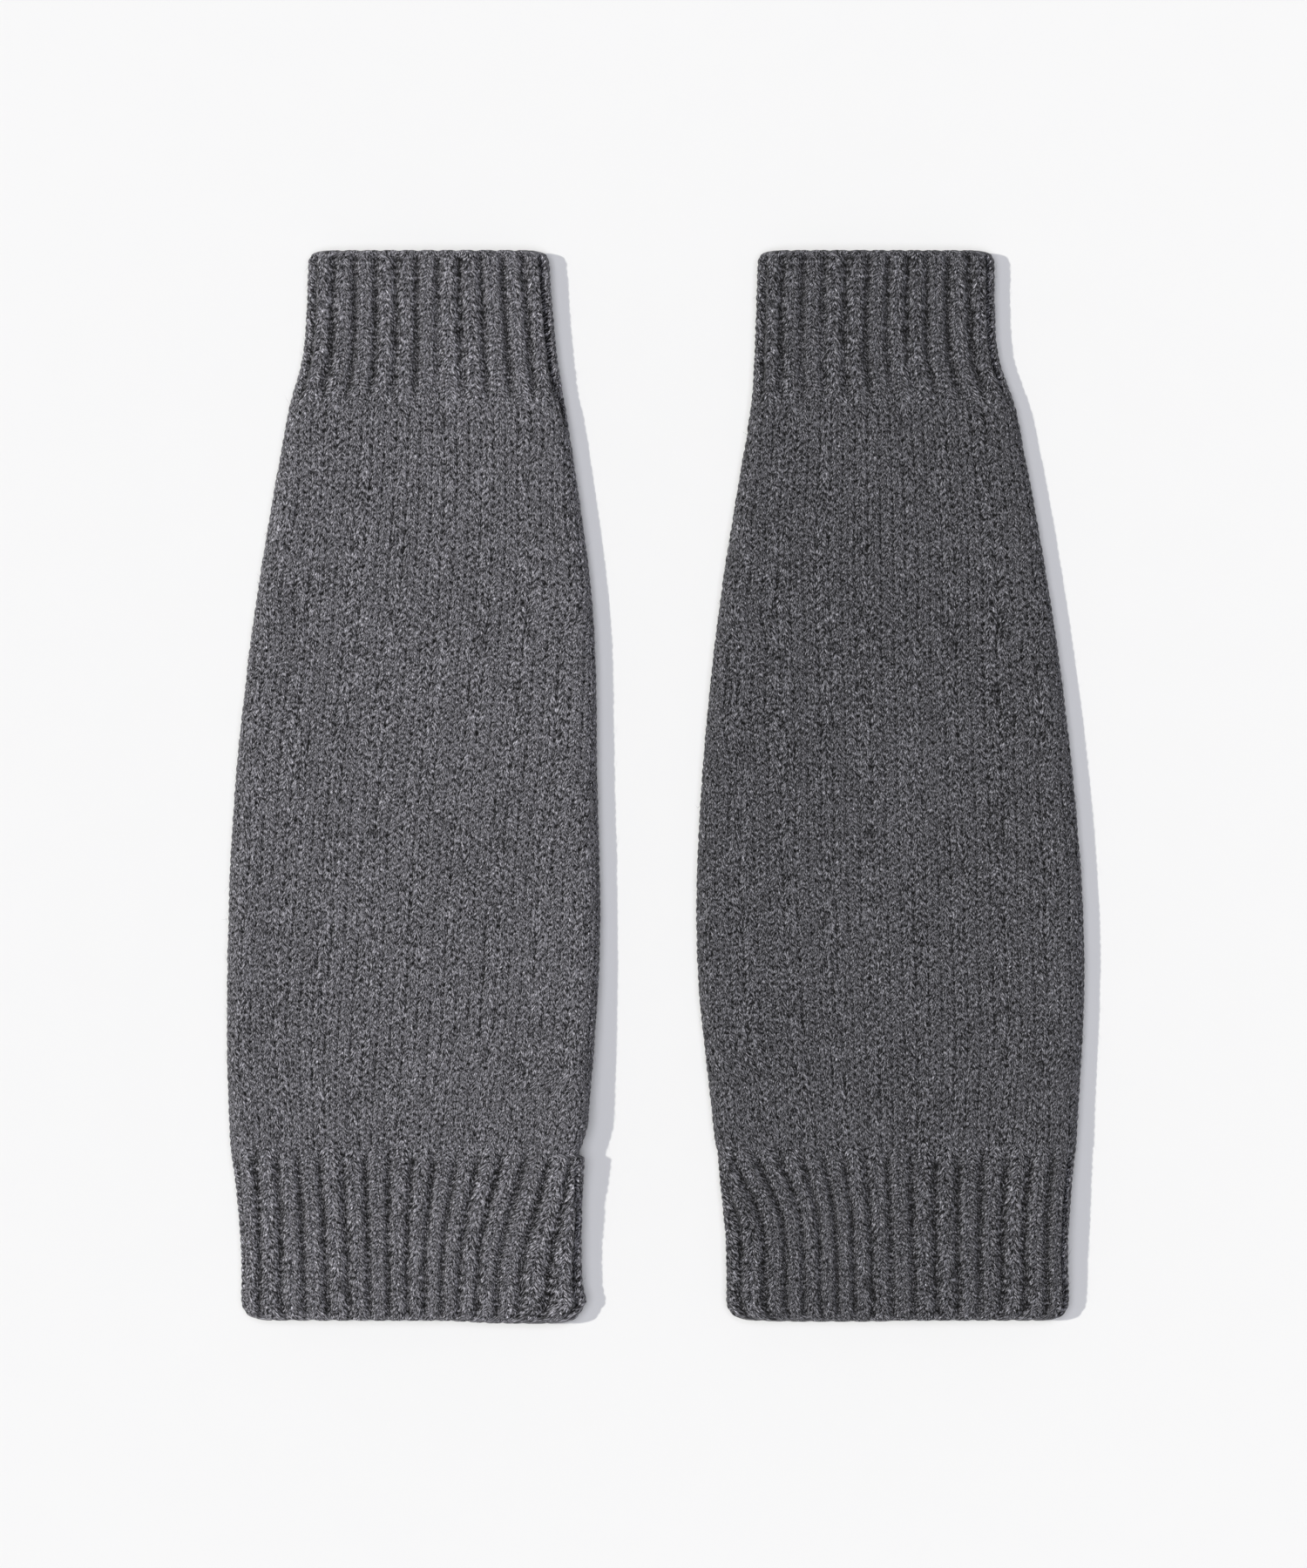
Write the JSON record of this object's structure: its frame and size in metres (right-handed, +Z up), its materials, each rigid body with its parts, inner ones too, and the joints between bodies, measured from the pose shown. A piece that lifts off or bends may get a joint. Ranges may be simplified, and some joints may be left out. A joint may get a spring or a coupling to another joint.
{
  "type": "fingerless gloves",
  "caption": "Pair of long knitted wool fingerless gloves lying flat, each a tapered tube with a plain body and ribbed hand and arm cuffs.",
  "frame": {"origin": "on the resting plane, in the middle of the pair's bounding box", "axes": "+Y towards the hand edges, +X from the left glove to the right glove as seen from above, +Z up, away from the resting plane"},
  "size_m": [0.2561, 0.32, 0.0126],
  "materials": {
    "grey_knit": "plain knitted wool, soft and slightly fuzzy",
    "grey_rib": "ribbed knitted wool, soft and slightly fuzzy",
    "grey_edge": "knitted wool edge stitches",
    "dark_grey_knit": "plain knitted wool, soft and slightly fuzzy",
    "dark_grey_rib": "ribbed knitted wool, soft and slightly fuzzy",
    "dark_grey_edge": "knitted wool edge stitches",
    "seam_yarn": "wool seam allowance, sewn with the same yarn"
  },
  "bodies": {
    "left_back": {"left_hand_edge_back": "grey_edge", "left_hand_cuff_back": "grey_rib", "left_body_back": "grey_knit", "left_arm_cuff_back": "grey_rib", "left_arm_edge_back": "grey_edge", "left_side_seam": "seam_yarn"},
    "left_front": {"left_hand_edge_front": "grey_edge", "left_hand_cuff_front": "grey_rib", "left_body_front": "grey_knit", "left_arm_cuff_front": "grey_rib", "left_arm_edge_front": "grey_edge"},
    "right_back": {"right_hand_edge_back": "dark_grey_edge", "right_hand_cuff_back": "dark_grey_rib", "right_body_back": "dark_grey_knit", "right_arm_cuff_back": "dark_grey_rib", "right_arm_edge_back": "dark_grey_edge", "right_side_seam": "seam_yarn"},
    "right_front": {"right_hand_edge_front": "dark_grey_edge", "right_hand_cuff_front": "dark_grey_rib", "right_body_front": "dark_grey_knit", "right_arm_cuff_front": "dark_grey_rib", "right_arm_edge_front": "dark_grey_edge"}
  },
  "joints": [
    {"name": "left_open", "type": "slide", "parent": "left_back", "child": "left_front", "axis": [0, 0, 1], "range_m": [0, 0.028]},
    {"name": "right_open", "type": "slide", "parent": "right_back", "child": "right_front", "axis": [0, 0, 1], "range_m": [0, 0.028]},
    {"name": "right_aside", "type": "slide", "parent": "left_back", "child": "right_back", "axis": [1, 0, 0], "range_m": [0, 0.1]}
  ]
}
